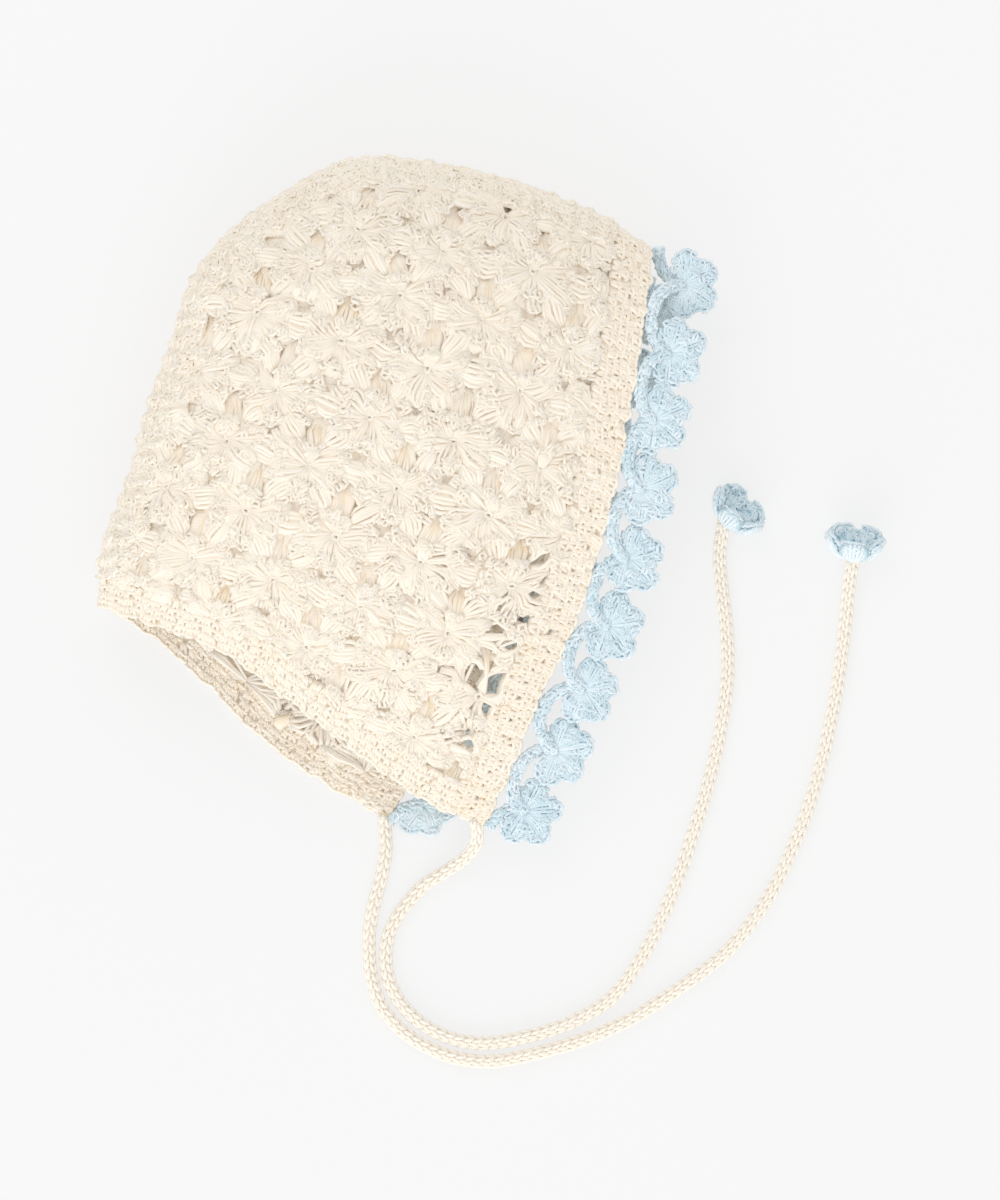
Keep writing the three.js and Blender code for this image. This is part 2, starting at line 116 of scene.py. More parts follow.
# Rows of puff flowers: the y of each row and the x of one flower in it
FLOWER_PITCH = 0.0405
FLOWERS_FROM = -0.15
FLOWERS_IN_ROW = 9
FLOWER_ROWS = [
    (0.184, -0.011), (0.156, 0.008), (0.129, -0.011), (0.103, 0.008),
    (0.078, -0.007), (0.051, 0.0155), (0.0215, -0.004), (-0.0055, 0.0175),
    (-0.033, -0.003), (-0.0595, 0.0175), (-0.084, -0.0035), (-0.109, 0.017),
    (-0.135, -0.0035), (-0.161, 0.017),
]

# Open places in the lower half of the near front, where the fabric parts: x, y and half width
OPENINGS = [
    (0.089, -0.018, 0.0026), (0.095, -0.027, 0.0028), (0.091, -0.033, 0.0018),
    (0.079, -0.053, 0.0026), (0.086, -0.0585, 0.003), (0.0745, -0.077, 0.004),
    (0.085, -0.077, 0.0044), (0.0845, -0.089, 0.0024), (0.081, -0.1055, 0.0024),
    (0.0465, -0.032, 0.0014),
]

# Trim along the face opening
TRIM_RADIUS = 0.0146
TRIM_PETAL_HALF = 0.0064
# For each side: how far the flowers droop, how dense and how large they are, and how much
# nearer to the band than their solids
TRIM_FORM = {"upper": (math.radians(9), 3, 1.0, 0.0), "lower": (0.0, 2, 0.86, 0.005)}
TRIM_COUNT = 9
LOWER_TRIM_REACH = 0.015
LOWER_TRIM_START = 0.013
CHAIN_RADIUS = 0.0024
UPPER_TRIM = [
    (0.1139, 0.1184), (0.1165, 0.0876), (0.1182, 0.0572), (0.122, 0.0261),
    (0.1242, -0.0057), (0.1242, -0.0369), (0.122, -0.0674), (0.1179, -0.0969),
    (0.1119, -0.1268),
]

# The ties, from the bonnet to the flower at the end
TIE_PITCH = 0.0044
TIE_COLUMNS = 4
TIE_CORE = 0.0021
NEAR_TIE = [
    (0.0946, -0.1422, 0.0165), (0.0952, -0.1478, 0.013), (0.0922, -0.155, 0.0085),
    (0.086, -0.1628, 0.005), (0.0784, -0.1715, 0.0034), (0.0725, -0.1835, 0.003),
    (0.0694, -0.1965, 0.003), (0.0716, -0.2095, 0.003), (0.078, -0.2203, 0.003),
    (0.088, -0.2282, 0.003), (0.104, -0.2334, 0.003), (0.1215, -0.2326, 0.003),
    (0.1412, -0.2238, 0.003), (0.1598, -0.211, 0.003), (0.1735, -0.1955, 0.003),
    (0.1814, -0.173, 0.003), (0.1858, -0.145, 0.003), (0.1874, -0.115, 0.003),
    (0.1872, -0.081, 0.003), (0.1827, -0.045, 0.003), (0.1755, -0.022, 0.003),
    (0.1683, -0.005, 0.0034), (0.1635, 0.008, 0.0046), (0.1616, 0.0205, 0.0068),
]
FAR_TIE = [
    (0.0542, -0.1519, 0.003), (0.0572, -0.16, 0.003), (0.0588, -0.172, 0.003),
    (0.0593, -0.188, 0.003), (0.0614, -0.2016, 0.003), (0.067, -0.217, 0.003),
    (0.0764, -0.23, 0.003), (0.0915, -0.2386, 0.003), (0.111, -0.2419, 0.003),
    (0.129, -0.239, 0.003), (0.1482, -0.2294, 0.003), (0.167, -0.2173, 0.003),
    (0.184, -0.203, 0.003), (0.199, -0.186, 0.003), (0.2175, -0.1605, 0.003),
    (0.2275, -0.134, 0.003), (0.232, -0.108, 0.003), (0.2338, -0.0813, 0.003),
    (0.2315, -0.0403, 0.003), (0.227, -0.01, 0.0036), (0.2236, 0.008, 0.0052),
    (0.2216, 0.0205, 0.0072),
]
# Each tie starts inside the bonnet's corner and ends inside its cupped flower
TIE_IN_CUP = 0.004
NEAR_TIE_ROOT = (0.0924, -0.1366, 0.019)
FAR_TIE_ROOT = (0.0526, -0.1462, 0.0034)
NEAR_CUP_AIM = (0.4, 0.8, 0.46)
FAR_CUP_AIM = (-0.14, 0.93, 0.36)
CUP_FORWARD = 0.0034
CUP_FLATTENED = 0.8


# Random offsets around nought, of about the given size
def chance(size, shape=None):
    return random.normal(0, size, shape)


def add_object(name, data):
    made = bpy.data.objects.new(name, data)
    bpy.context.scene.collection.objects.link(made)
    return made


def left_of(way):
    return np.stack([-way[..., 1], way[..., 0]], -1)


def unit(v):
    return v / (np.linalg.norm(v, axis=-1, keepdims=True) + 1e-12)


# A smooth blend from a to b as f goes from 0 to 1, with the given slopes at both ends
def blend(f, a, slope_a, b, slope_b):
    return (
        a * (2 * f**3 - 3 * f**2 + 1)
        + slope_a * (f**3 - 2 * f**2 + f)
        + b * (3 * f**2 - 2 * f**3)
        + slope_b * (f**3 - f**2)
    )


# A smooth curve through given points, read by its length
class Line:
    def __init__(self, rows):
        p = np.array(rows, float)
        p = np.vstack([2 * p[0] - p[1], p, 2 * p[-1] - p[-2]])
        step = np.sqrt(np.linalg.norm(np.diff(p, axis=0), axis=1))
        f = np.linspace(0, 1, 41)[:-1, None]
        spans = []
        for i in range(1, len(p) - 2):
            a, b, c = step[i - 1 : i + 2]
            chord = (p[i + 1] - p[i]) / b
            slope_in = b * ((p[i] - p[i - 1]) / a - (p[i + 1] - p[i - 1]) / (a + b) + chord)
            slope_out = b * (chord - (p[i + 2] - p[i]) / (b + c) + (p[i + 2] - p[i + 1]) / c)
            spans.append(blend(f, p[i], slope_in, p[i + 1], slope_out))
        self.points = np.vstack(spans + [p[-2]])
        steps = np.linalg.norm(np.diff(self.points, axis=0), axis=1)
        self.along = np.concatenate([[0], np.cumsum(steps)])
        self.length = self.along[-1]

    def at(self, s):
        return np.stack([np.interp(s, self.along, column) for column in self.points.T], -1)

    def way(self, s):
        step = 0.0004
        return unit(self.at(np.minimum(s + step, self.length)) - self.at(np.maximum(s - step, 0)))


fold = Line(FOLD_LINE)
fold_samples = fold.at(np.linspace(0, fold.length, 301))


# The signed distance from each point to a line, the nearest point on it and the way inwards
def from_line(samples, plan, turn):
    flat = plan.reshape(-1, 2)
    a = samples[:-1]
    way = unit(np.diff(samples, axis=0))
    length = np.linalg.norm(np.diff(samples, axis=0), axis=1)
    distance = np.empty(len(flat))
    foot = np.empty_like(flat)
    inward = np.empty_like(flat)
    batch = 8000
    for start in range(0, len(flat), batch):
        p = flat[start : start + batch, None, :]
        along = np.clip(((p - a) * way).sum(-1), 0, length)
        feet = a + along[..., None] * way
        gap = np.linalg.norm(p - feet, axis=-1)
        best = gap.argmin(1)
        rows = np.arange(len(best))
        foot[start : start + batch] = feet[rows, best]
        inward[start : start + batch] = -turn * left_of(way[best])
        distance[start : start + batch] = gap[rows, best]
    sign = np.where(((flat - foot) * inward).sum(-1) < 0, -1, 1)
    shape = plan.shape[:-1]
    return (sign * distance).reshape(shape), foot.reshape(plan.shape), inward.reshape(plan.shape)


def from_fold(plan):
    return from_line(fold_samples, plan, 1)


# How far points lie inside a seam, and the way inwards from it
def inside_seam(seam, plan):
    _, foot, inward = from_line(seam, plan, -1)
    return ((plan - foot) * inward).sum(-1), inward


# Slow waves of about the given size, to make things uneven
WAVES = unit(chance(1, (7, 2))) * random.uniform(0.7, 1.4, (7, 1))
PHASES = random.uniform(0, 6.28, 7)


def uneven(plan, size, seed=0.0):
    turns = TURN * (plan @ WAVES.T) / size + PHASES * (1 + seed)
    return np.sin(turns).sum(-1) / 2.0


# A smooth curve through four evenly spaced rows of values
def smooth(values, u):
    place = np.clip(u, 0, 1) * 3
    i = np.minimum(place.astype(int), 2)
    f = place - i
    padded = np.concatenate([2 * values[:1] - values[1:2], values, 2 * values[3:] - values[2:3]])
    rows = np.arange(len(place))
    v0, v1, v2, v3 = (padded[i + k, rows] if values.ndim == 2 else padded[i + k] for k in range(4))
    return blend(f, v1, (v2 - v0) / 2, v2, (v3 - v1) / 2)


def upper_height(plan):
    flat = plan.reshape(-1, 2)
    u = (flat[:, 0] - HEIGHT_X[0]) / (HEIGHT_X[1] - HEIGHT_X[0])
    v = (flat[:, 1] - HEIGHT_Y[0]) / (HEIGHT_Y[1] - HEIGHT_Y[0])
    rows = np.stack([smooth(row, v) for row in UPPER_HEIGHTS])
    return smooth(rows, u).reshape(plan.shape[:-1])


# The outer surface of either side over points of the plan, and its outward direction
def surface(side, plan):
    distance, _, inward = from_fold(plan)
    left = 1 - np.clip(distance / ROUNDING[side], 0, 1)
    rounding = np.sqrt(1 - left**2)
    turn = 1 if side == "upper" else -1
    rise = np.full(distance.shape, -FOLD_HEIGHT)
    slope = np.zeros(plan.shape)
    if side == "upper":
        rise = upper_height(plan) - FOLD_HEIGHT
        reach = 0.001
        for k, step in enumerate(np.eye(2) * reach):
            slope[..., k] = (upper_height(plan + step) - upper_height(plan - step)) / (2 * reach)
    tilt = -turn * (
        (left * rise / ROUNDING[side])[..., None] * inward + (rounding**2)[..., None] * slope
    )
    normal = unit(np.concatenate([tilt, (turn * rounding)[..., None]], -1))
    height = FOLD_HEIGHT + rise * rounding
    return np.concatenate([plan, height[..., None]], -1), normal


# How far the fabric reaches round the fold, as a table from its own length to the plan
def rolling(side):
    angle = np.linspace(0, math.pi / 2, 200)
    r, rise = ROUNDING[side], USUAL_RISE[side]
    speed = np.hypot(r * np.sin(angle), rise * np.cos(angle))
    arc = np.concatenate([[0], np.cumsum((speed[1:] + speed[:-1]) / 2 * np.diff(angle))])
    return arc, r * (1 - np.cos(angle))


ROLLING = {side: rolling(side) for side in ("upper", "lower")}


# Lays points of the flat fabric on one side of the bonnet, a given way off its outer surface
def lay(side, fabric, off):
    waver = np.stack([uneven(fabric, 0.013), uneven(fabric, 0.015, 0.4)], -1)
    sway = np.stack([uneven(fabric, 0.06, 0.2), uneven(fabric, 0.055, 0.8)], -1)
    off = off + 0.0003 * uneven(fabric, 0.009, 0.6)
    fabric = fabric + 0.0005 * waver + 0.0007 * sway
    distance, foot, inward = from_fold(fabric)
    arc, plan_distance = ROLLING[side]
    extra = arc[-1] - ROUNDING[side]
    rolled = np.interp(distance + extra, arc, plan_distance)
    rolled = np.where(distance + extra > arc[-1], distance, rolled)
    straight = unit(fabric - foot) * np.sign(distance)[..., None]
    way = np.where((np.abs(distance) > 0.001)[..., None], straight, inward)
    position, normal = surface(side, foot + way * rolled[..., None])
    return position + normal * np.asarray(off)[..., None], normal


# A line beside an edge, a given way to its left, with both ends led to given points
def inset(edge, width, start, end):
    u = np.linspace(0, 1, 25)[:, None]
    s = u[:, 0] * edge.length
    p = edge.at(s)
    beside = p + left_of(edge.way(s)) * width
    return Line(beside + (1 - u) ** 10 * (start - beside[0]) + u**10 * (end - beside[-1]))


# The edges and seams of one side
class Side:
    def __init__(self, name):
        self.name = name
        self.neck = Line(NECK_LINE[name])
        self.front = Line(FRONT_LINE[name])
        low_end = self.neck.at(self.neck.length - FRONT_BAND)
        high_end = fold.at(fold.length - FRONT_BAND)
        self.front_seam = inset(self.front, FRONT_BAND, low_end, high_end)
        length = self.neck.length - FRONT_BAND - PIECE_GAP
        self.neck_edge = Line(self.neck.at(np.linspace(0, length, 17)))
        back_end = fold.at(NECK_BAND)
        self.neck_seam = inset(self.neck_edge, NECK_BAND, back_end, self.front_seam.at(NECK_BAND))
        self.seams = [
            seam.at(np.linspace(0, seam.length, 90)) for seam in (self.front_seam, self.neck_seam)
        ]

    # Which points of the flat fabric lie within the puff fabric
    def holds(self, fabric, margin, beyond):
        distance, _, _ = from_fold(fabric)
        arc, _ = ROLLING[self.name]
        held = distance + arc[-1] - ROUNDING[self.name] > margin
        for seam in self.seams:
            held &= inside_seam(seam, fabric)[0] > -beyond
        return held

    # How far points of the plan lie inside the nearer seam
    def room(self, plan):
        return np.minimum(*(inside_seam(seam, plan)[0] for seam in self.seams))

    # Gathers the fabric that would cross a seam close inside it
    def tuck(self, fabric):
        for seam in self.seams:
            depth, inward = inside_seam(seam, fabric)
            wanted = SEAM_SOFTNESS * np.logaddexp(0, depth / SEAM_SOFTNESS)
            fabric = fabric + inward * (wanted - depth)[..., None]
        return fabric


SIDES = {name: Side(name) for name in ("upper", "lower")}


# Bends strands that run over the fabric aside, round the given open places
def part_round(fabric, gaps, clear):
    across = left_of(unit(np.gradient(fabric, axis=-2)))
    for x, y, size in gaps:
        reach = size + clear
        v = fabric - (x, y)
        near = np.clip(1 - np.linalg.norm(v, axis=-1) / (2.2 * reach), 0, 1)
        side = (v * across).sum(-1)
        push = np.where(side < 0, -1, 1) * np.clip(reach - np.abs(side), 0, None)
        fabric = fabric + across * (push * np.minimum(1, 2.2 * near))[..., None]
    return fabric


# Strands of yarn gathered for one piece
class Yarn:
    def __init__(self):
        self.points = []
        self.corners = []
        self.sizes = []
        self.maps = []
        self.tones = []
        self.count = 0

    # Adds tubes along lines of the same number of points; up turns their cross sections, flat
    # squashes them and tone makes them lighter or darker
    def add(self, lines, up, radius=YARN_RADIUS, sides=5, flat=1.0, tone=0.0):
        k = lines.shape[-2]
        up = np.broadcast_to(up, lines.shape).reshape(-1, k, 3)
        radius = np.broadcast_to(radius, lines.shape[:-1]).reshape(-1, k)
        lines = lines.reshape(-1, k, 3)
        n = len(lines)
        way = unit(np.gradient(lines, axis=1))
        across = unit(np.cross(way, up))
        up = np.cross(across, way)
        turn = TURN * np.arange(sides) / sides
        c, s = np.cos(turn)[:, None], np.sin(turn)[:, None]
        ring = c * across[:, :, None] + flat * s * up[:, :, None]
        points = lines[:, :, None] + radius[:, :, None, None] * ring
        self.points.append(points.reshape(-1, 3))
        steps = np.linalg.norm(np.diff(lines, axis=1), axis=2)
        along = 1000 * np.concatenate([np.zeros((n, 1)), np.cumsum(steps, axis=1)], 1)
        along += random.uniform(0, 40, (n, 1))
        tone = np.broadcast_to(tone, (n, k))[:, :, None] + random.uniform(0, 1, (n, 1, 1))
        self.tones.append(np.broadcast_to(tone, (n, k, sides)).reshape(-1))

        first = self.count + np.arange(n)[:, None, None] * k * sides
        ring_start = first + np.arange(k - 1)[None, :, None] * sides
        here = ring_start + np.arange(sides)
        after = ring_start + (np.arange(sides) + 1) % sides
        quads = np.stack([here, here + sides, after + sides, after], -1)
        self.corners.append(quads.reshape(-1))
        self.sizes.append(np.full(quads.size // 4, 4))
        u = np.stack([along[:, :-1], along[:, 1:], along[:, 1:], along[:, :-1]], -1)
        u = np.broadcast_to(u[:, :, None], quads.shape)
        edge = np.arange(sides)
        v = np.stack([edge, edge, edge + 1, edge + 1], -1)
        v = np.broadcast_to(v / sides, quads.shape)
        self.maps.append(np.stack([u, v], -1).reshape(-1, 2))
        for offset, order, end in ((0, 1, 0), ((k - 1) * sides, -1, -1)):
            cap = first[:, 0] + offset + np.arange(sides)[::order]
            self.corners.append(cap.reshape(-1))
            self.sizes.append(np.full(n, sides))
            u = np.repeat(along[:, end], sides)
            self.maps.append(np.stack([u, np.full(u.shape, 0.5)], -1))
        self.count += n * k * sides

    def piece(self, name, slot, nodes):
        points = np.concatenate(self.points)
        points[:, 2] = PRESSED * np.logaddexp(0, points[:, 2] / PRESSED)
        corners = np.concatenate(self.corners)
        sizes = np.concatenate(self.sizes)
        mesh = bpy.data.meshes.new(name)
        mesh.vertices.add(len(points))
        mesh.vertices.foreach_set("co", points.astype(np.float32).ravel())
        mesh.loops.add(len(corners))
        mesh.loops.foreach_set("vertex_index", corners.astype(np.int32))
        mesh.polygons.add(len(sizes))
        starts = np.concatenate([[0], np.cumsum(sizes)[:-1]])
        mesh.polygons.foreach_set("loop_start", starts.astype(np.int32))
        mesh.update(calc_edges=True)
        mesh.shade_smooth()
        layer = mesh.uv_layers.new(name="yarn")
        layer.uv.foreach_set("vector", np.concatenate(self.maps).astype(np.float32).ravel())
        tone = mesh.attributes.new("tone", "FLOAT", "POINT")
        tone.data.foreach_set("value", np.concatenate(self.tones).astype(np.float32))
        mesh.materials.append(COTTONS[slot])
        piece = add_object(name, mesh)
        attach(piece, "root")
        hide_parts(*nodes)
        return piece


# Materials
def add_node(tree, kind, inputs=(), **settings):
    node = tree.nodes.new("ShaderNode" + kind)
    for key, value in settings.items():
        setattr(node, key, value)
    for key, value in dict(inputs).items():
        if isinstance(value, bpy.types.NodeSocket):
            tree.links.new(value, node.inputs[key])
        else:
            node.inputs[key].default_value = value
    return node


def maths(tree, operation, *values):
    return add_node(tree, "Math", dict(enumerate(values)), operation=operation).outputs[0]


# Plied cotton: the ply runs round each strand, with fine fibres and a slow change of tone
def cotton(name, colours, sheen):
    material = bpy.data.materials.new(name)
    material.use_nodes = True
    tree = material.node_tree
    shader = tree.nodes["Principled BSDF"]
    yarn_map = add_node(tree, "UVMap", uv_map="yarn")
    place = add_node(tree, "TexCoord").outputs["Object"]
    parts = add_node(tree, "SeparateXYZ", {0: yarn_map.outputs[0]})
    along = maths(tree, "MULTIPLY", parts.outputs[0], 1.05)
    around = maths(tree, "MULTIPLY", parts.outputs[1], 3.0)
    angle = maths(tree, "MULTIPLY", maths(tree, "ADD", along, around), math.pi)
    ply = maths(tree, "ABSOLUTE", maths(tree, "SINE", angle))
    fine_noise = {"Vector": place, "Scale": 2600.0, "Detail": 3.0, "Roughness": 0.6}
    fibre = add_node(tree, "TexNoise", fine_noise).outputs["Fac"]
    slow_noise = {"Vector": place, "Scale": 42.0, "Detail": 4.0, "Roughness": 0.55}
    cloud = add_node(tree, "TexNoise", slow_noise).outputs["Fac"]
    strand = add_node(tree, "Attribute", attribute_name="tone").outputs["Fac"]
    fine = maths(tree, "MULTIPLY", ply, fibre)
    broad = maths(tree, "ADD", maths(tree, "MULTIPLY", strand, 0.6), cloud)
    tone = {"Value": maths(tree, "ADD", fine, broad), "From Min": 0.1, "From Max": 1.6}
    share = add_node(tree, "MapRange", tone)
    ramp = add_node(tree, "ValToRGB", {"Fac": share.outputs[0]})
    ramp.color_ramp.elements[0].color = (*colours[0], 1)
    ramp.color_ramp.elements[1].color = (*colours[3], 1)
    for spot, colour in ((0.25, colours[1]), (0.5, colours[2])):
        ramp.color_ramp.elements.new(spot).color = (*colour, 1)
    tree.links.new(ramp.outputs["Color"], shader.inputs["Base Color"])
    rough = add_node(tree, "MapRange", {"Value": fibre, "To Min": 0.78, "To Max": 0.98})
    tree.links.new(rough.outputs[0], shader.inputs["Roughness"])
    height = maths(tree, "ADD", maths(tree, "MULTIPLY", fibre, 0.45), ply)
    relief = {"Height": height, "Strength": 0.55, "Distance": 0.00025}
    bump = add_node(tree, "Bump", relief)
    tree.links.new(bump.outputs[0], shader.inputs["Normal"])
    shader.inputs["Specular IOR Level"].default_value = 0.2
    shader.inputs["Sheen Weight"].default_value = sheen
    shader.inputs["Sheen Roughness"].default_value = 0.5
    return material


COTTONS = {
    "cream_cotton": cotton(
        "cream_yarn",
        [(0.93, 0.7, 0.4), (0.965, 0.81, 0.6), (0.98, 0.865, 0.7), (0.99, 0.9, 0.76)],
        0.12,
    ),
    "blue_cotton": cotton(
        "blue_yarn",
        [(0.27, 0.48, 0.6), (0.38, 0.59, 0.69), (0.6, 0.79, 0.88), (0.8, 0.91, 0.97)],
        0.2,
    ),
}


# The camera straight above, turned as the photograph is
camera_data = bpy.data.cameras.new("camera")
camera_data.sensor_width = 36
camera_data.lens = 36 * CAMERA_HEIGHT / VIEW_HEIGHT
camera_data.clip_start = 0.5
camera_data.clip_end = 60
camera = add_object("camera", camera_data)
camera.location = (*VIEW_CENTRE, CAMERA_HEIGHT + 0.03)
camera.rotation_euler = (0, 0, VIEW_TURN)
bpy.context.scene.camera = camera


# Small crochet loops; x and y are their middles, turn the way they point
def small_loops(yarn, place, x, y, off, turn, radius=0.00076, points=5):
    phi = np.linspace(-2.2, 2.2, points)
    out = LOOP_LENGTH * random.uniform(0.7, 1.25, x.shape)[:, None] * np.cos(phi)
    side = LOOP_HALF_WIDTH * random.uniform(0.7, 1.25, x.shape)[:, None] * np.sin(phi)
    c, s = np.cos(turn)[:, None], np.sin(turn)[:, None]
    off = np.broadcast_to(off, x.shape)[:, None]
    rise = 0.0006 * np.cos(phi / 2) + chance(0.0002, x.shape)[:, None]
    lines, up = place(
        x[:, None] + out * c - side * s, y[:, None] + out * s + side * c, off + rise
    )
    yarn.add(lines, up, radius * random.uniform(0.85, 1.15, (len(x), 1)), 4)


# Points along a cord's middle, and the two ways across it there
def cross_section(line, along):
    way = line.way(along)
    across = unit(np.cross(way, (0, 0, 1.0)))
    return line.at(along), across, np.cross(across, way)


# Ties: a knitted cord of four columns of V stitches, from inside the corner into the flower
def tie(route, root, name, node):
    line = Line(route)
    beyond = line.at(line.length) + line.way(line.length) * TIE_IN_CUP
    drawn = Line([root] + route + [tuple(beyond)])
    s = np.arange(0.0016, drawn.length - 0.0016, TIE_PITCH)
    k = np.linspace(-0.5, 0.5, 5)
    bulge = np.sin((k + 0.5) * math.pi)
    yarn = Yarn()
    for column in range(TIE_COLUMNS):
        for leg in (-1, 1):
            along = s[:, None] + TIE_PITCH * (0.5 * (column % 2) + 1.16 * k[None, :])
            along = np.clip(along, 0, drawn.length)
            centre, across, up = cross_section(drawn, along)
            angle = TURN * (column + 0.5) / TIE_COLUMNS + leg * (0.12 + 0.52 * (0.5 - k)) * 0.98
            out = np.cos(angle)[:, None] * across + np.sin(angle)[:, None] * up
            reach = (0.00205 + 0.00035 * bulge) * random.uniform(0.94, 1.06, (len(s), 1))
            radius = 0.00086 * (0.72 + 0.4 * bulge)
            yarn.add(centre + reach[..., None] * out, out, radius, 4, tone=1.4)
    s = np.linspace(0.001, drawn.length - 0.001, 161)
    s = s[:-1:2, None] + (s[1] - s[0]) * np.array([0, 0.5, 1.0, 1.5, 2.0])
    yarn.add(drawn.at(s), np.array([0, 0, 1.0]), TIE_CORE, 6, tone=0.4)
    return yarn.piece(name, "cream_cotton", [node]), line, drawn


# The cupped flower at a tie's end: five petals of strands, small loops over both faces
def cup_flower(line, aim, name, node):
    axis = unit(np.array(aim))
    end = line.at(line.length)
    side = unit(np.cross(axis, (0, 0, 1.0)))
    top = np.cross(side, axis)
    profile = Line(
        [(0.0012, 0.0004), (0.0042, 0.0008), (0.0088, 0.0036), (0.0122, 0.0084), (0.0128, 0.0108)]
    )
    yarn = Yarn()
    petals = 5
    strands = 9
    half = 0.0062
    rim_half = 0.0064
    around = 0.0105
    number = 18
    rim_number = 9

    def place(angle, s, off):
        p = profile.at(s)
        out = np.cos(angle)[..., None] * side + np.sin(angle)[..., None] * top
        t = profile.way(s)
        normal = -t[..., 1:2] * out + t[..., :1] * axis
        return p[..., :1] * out + p[..., 1:2] * axis + normal * off[..., None], normal

    t = np.linspace(0.02, 1, 7)
    for petal in range(petals):
        middle = TURN * (petal + 0.25) / petals
        q = np.linspace(-1, 1, strands)[:, None]
        angle = middle + q * 0.6 * (0.85 + 0.15 * t) * (0.55 + 0.45 * np.sqrt(t))
        reach = profile.length * (1 - 0.42 * np.abs(q) ** 2.4) * t
        # The strands on each petal's inner face are painted darker, as shade inside the cup, and
        # those on its outer face lighter, as painted light
        for face in (1, -1):
            off = face * (0.0006 + 0.0011 * np.sin(math.pi * t) * (1 - q**2))
            lines, normal = place(angle, reach, off + chance(0.00015, (strands, 1)))
            yarn.add(lines, face * normal, 0.00072 * (0.75 + 0.35 * t), tone=0.1 - 1.3 * face)
        body = np.full((1, 7), middle), profile.length * 0.96 * t[None], np.zeros((1, 7))
        wide = 0.0072 * np.interp(t, [0, 0.3, 0.75, 1], [0.2, 0.62, 1.0, 0.7])
        yarn.add(*place(*body), wide, 8, 0.12, -0.6)

        def petal_face(x, y, off, middle=middle):
            return place(middle + y / around, np.clip(x, 0, profile.length), off)

        for face in (1, -1):
            y = random.uniform(-0.9, 0.9, number) * half
            x = profile.length * random.uniform(0.35, 0.96, number) * (1 - 0.36 * (y / half) ** 2)
            heading = random.uniform(0, 6.28, number)
            small_loops(yarn, petal_face, x, y, face * 0.0013, heading)
        y = np.linspace(-rim_half, rim_half, rim_number)
        x = profile.length * (1 - 0.42 * np.abs(y / rim_half) ** 2.4)
        heading = math.pi / 2 + chance(0.4, rim_number)
        small_loops(yarn, petal_face, x, y, 0.0002, heading)
    points = np.concatenate(yarn.points)
    points[:, 2] *= CUP_FLATTENED
    points += end + axis * np.array([CUP_FORWARD, CUP_FORWARD, 0])
    points[:, 2] += max(0.0, 0.0001 - points[:, 2].min())
    yarn.points = [points]
    return yarn.piece(name, "blue_cotton", [node])


for route, root, aim, near in (
    (NEAR_TIE, NEAR_TIE_ROOT, NEAR_CUP_AIM, "near"),
    (FAR_TIE, FAR_TIE_ROOT, FAR_CUP_AIM, "far"),
):
    cord, line, drawn = tie(route, root, f"{near}_braid", f"{near}_tie")
    flower = cup_flower(line, aim, f"{near}_braid_flower", f"{near}_tie_flower")
    drawn.at(np.linspace(0, drawn.length, 160)).tolist()


# Puff flowers: six petals of gathered loops round each centre
def flower_centres():
    rows = []
    for y, x in FLOWER_ROWS:
        first = x - FLOWER_PITCH * math.ceil((x - FLOWERS_FROM) / FLOWER_PITCH)
        row = np.array([(first + i * FLOWER_PITCH, y) for i in range(FLOWERS_IN_ROW)])
        rows.append(row + chance(0.0007, row.shape))
    return rows


FLOWERS = flower_centres()


# The petals of every flower: from the flower's centre to where three flowers meet
def petals_of(rows):
    starts, tips, kinds = [], [], []
    beside = np.array((FLOWER_PITCH, 0))
    for above, row, below in zip(rows, rows[1:], rows[2:]):
        for c in row:
            left = above[above[:, 0] < c[0]]
            right = above[above[:, 0] >= c[0]]
            low_left = below[below[:, 0] < c[0]]
            low_right = below[below[:, 0] >= c[0]]
            if min(map(len, (left, right, low_left, low_right))) == 0:
                continue
            ring = [c + beside, right[0], left[-1], c - beside, low_left[-1], low_right[0]]
            for i in range(6):
                starts.append(c)
                tips.append((c + ring[i] + ring[(i + 1) % 6]) / 3)
                kinds.append(i)
    return np.array(starts), np.array(tips), np.array(kinds)


# A petal's width and height along its length, as shares of the greatest
PETAL_T = [0, 0.15, 0.35, 0.62, 0.82, 0.94, 1]
PETAL_WIDTH = [0.14, 0.44, 0.8, 1.0, 0.96, 0.8, 0.58]
PETAL_DOME = [0.0, 0.45, 0.88, 1.0, 0.86, 0.6, 0.3]
# How many strands of each kind a puff has on either side, and the points of an outer one
STRANDS = {
    "upper": {"outer": 9, "points": 5, "inside": 4, "short": 6, "tufts": 18},
    "lower": {"outer": 6, "points": 4, "inside": 6, "short": 5, "tufts": 3},
}


# How far strands rise from a petal's edges to its middle
def swelling(q):
    return np.sqrt(np.clip(1 - 0.8 * q**2, 0.05, 1))[:, :, None]


# Which places are clear of the given open places
def clear_of(gaps, places, margin):
    clear = np.ones(len(places), bool)
    for x, y, size in gaps:
        clear &= np.linalg.norm(places - (x, y), axis=1) > size + margin
    return clear


